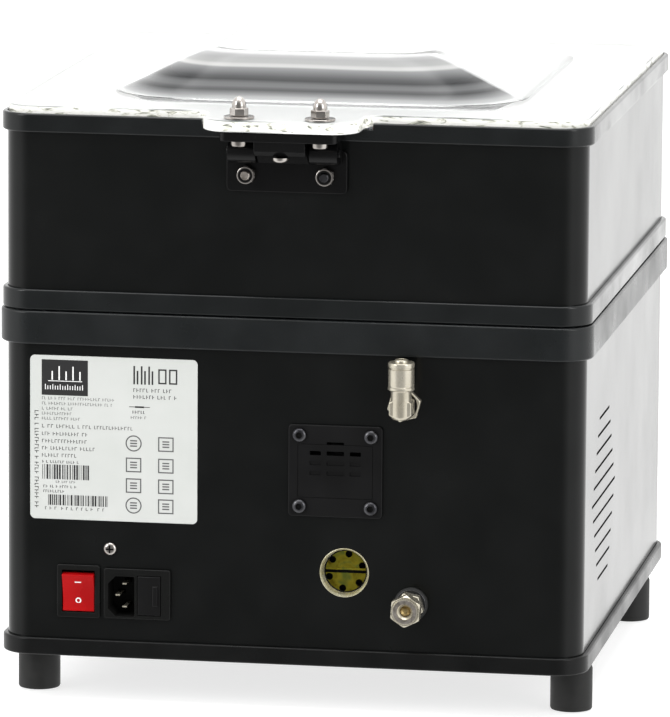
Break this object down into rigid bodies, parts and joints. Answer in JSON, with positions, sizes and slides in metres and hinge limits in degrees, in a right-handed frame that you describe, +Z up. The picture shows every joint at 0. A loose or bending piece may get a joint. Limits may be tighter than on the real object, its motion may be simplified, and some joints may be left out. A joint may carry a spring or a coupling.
{
  "type": "ultrasonic cleaner",
  "caption": "Bench ultrasonic cleaner with a hinged clear domed lid over a stainless tank, side louvres, rear mains inlet, rocker switch, air elbow and drain.",
  "frame": {"origin": "centre of the bounding box in plan, on the bench under the feet", "axes": "+Z up; controls face -Y; hinge, inlet and hose fittings face +Y; louvres on the -X side"},
  "size_m": [0.356, 0.439, 0.3834],
  "materials": {
    "painted_steel": "gloss black paint",
    "trim_plastic": "satin dark grey",
    "black_plastic": "satin black moulding",
    "foot_rubber": "matt",
    "gasket_silicone": "matt grey silicone",
    "tank_steel": "polished stainless",
    "clear_acrylic": "clear cast acrylic",
    "fastener_steel": "bright stainless",
    "nickel_plate": "bright nickel plate on brass",
    "zinc_plate": "yellow zinc plate",
    "label_film": "satin white film",
    "switch_red": "glossy red",
    "display_lens": "smoked lens",
    "horn_aluminium": "machined",
    "heater_film": "orange silicone sheet",
    "circuit_board": "green solder mask",
    "pump_paint": "grey paint on a die-cast body"
  },
  "bodies": {
    "case": {"base_tray": "trim_plastic", "foot_front_left": "foot_rubber", "foot_front_right": "foot_rubber", "foot_rear_left": "foot_rubber", "foot_rear_right": "foot_rubber", "lower_casing": "painted_steel", "lower_trim": "trim_plastic", "upper_trim": "trim_plastic", "upper_casing": "painted_steel", "top_trim": "trim_plastic", "top_deck": "tank_steel", "tank": "tank_steel", "lid_gasket": "gasket_silicone", "rating_label": "label_film", "vent_cover": "black_plastic", "vent_screw_1": "fastener_steel", "vent_screw_2": "fastener_steel", "vent_screw_3": "fastener_steel", "vent_screw_4": "fastener_steel", "fan_frame": "black_plastic", "inlet_body": "black_plastic", "inlet_pin_line": "nickel_plate", "inlet_pin_earth": "nickel_plate", "inlet_pin_neutral": "nickel_plate", "switch_bezel": "black_plastic", "earth_screw": "fastener_steel", "exhaust_plug": "zinc_plate", "vacuum_pump": "pump_paint", "elbow_stem": "nickel_plate", "drain_grommet": "foot_rubber", "drain_fitting": "nickel_plate", "hinge_bracket": "painted_steel", "hinge_pin": "fastener_steel", "hinge_nut_left": "fastener_steel", "hinge_nut_right": "fastener_steel", "hinge_bolt_left": "fastener_steel", "hinge_bolt_right": "fastener_steel", "transducer_1": "horn_aluminium", "transducer_2": "horn_aluminium", "transducer_3": "horn_aluminium", "heater_mat": "heater_film", "generator_board": "circuit_board", "control_panel": "black_plastic", "display_window": "display_lens"},
    "lid_assembly": {"lid": "clear_acrylic", "hinge_leaf": "painted_steel", "lid_bolt_left": "fastener_steel", "lid_bolt_right": "fastener_steel", "lid_washer_left": "fastener_steel", "lid_washer_right": "fastener_steel", "cap_nut_left": "fastener_steel", "cap_nut_right": "fastener_steel"},
    "power_rocker": {"rocker": "switch_red"},
    "fuse_tray": {"fuse_drawer": "black_plastic"},
    "fan_wheel": {"fan_rotor": "black_plastic"},
    "elbow": {"elbow_body": "nickel_plate"},
    "release_collar": {"elbow_collar": "nickel_plate"},
    "timer": {"timer_knob": "black_plastic"},
    "heat_control": {"heater_knob": "black_plastic"},
    "degas": {"degas_button": "black_plastic"}
  },
  "joints": [
    {"name": "lid_hinge", "type": "hinge", "parent": "case", "child": "lid_assembly", "pos_m": [0.0025, 0.1955, 0.336], "axis": [-1, 0, 0], "range_deg": [0, 100]},
    {"name": "rocker_tilt", "type": "hinge", "parent": "case", "child": "power_rocker", "pos_m": [0.1277, 0.1783, 0.0664], "axis": [1, 0, 0], "range_deg": [0, 16]},
    {"name": "fuse_slide", "type": "slide", "parent": "case", "child": "fuse_tray", "axis": [0, 1, 0], "range_m": [0, 0.02]},
    {"name": "fan_spin", "type": "hinge", "parent": "case", "child": "fan_wheel", "pos_m": [-0.0272, 0.171, 0.1448], "axis": [0, 1, 0], "continuous": true},
    {"name": "elbow_swivel", "type": "hinge", "parent": "case", "child": "elbow", "pos_m": [-0.0683, 0.1962, 0.1863], "axis": [0, 1, 0], "range_deg": [-90, 90]},
    {"name": "collar_press", "type": "slide", "parent": "elbow", "child": "release_collar", "axis": [0, 0, -1], "range_m": [0, 0.0011], "stiffness_N_per_m": 400},
    {"name": "timer_turn", "type": "hinge", "parent": "case", "child": "timer", "pos_m": [-0.07, -0.2016, 0.112], "axis": [0, 1, 0], "range_deg": [0, 300]},
    {"name": "heat_turn", "type": "hinge", "parent": "case", "child": "heat_control", "pos_m": [0, -0.2016, 0.112], "axis": [0, 1, 0], "range_deg": [0, 270]},
    {"name": "degas_press", "type": "slide", "parent": "case", "child": "degas", "axis": [0, 1, 0], "range_m": [0, 0.003], "stiffness_N_per_m": 300}
  ]
}
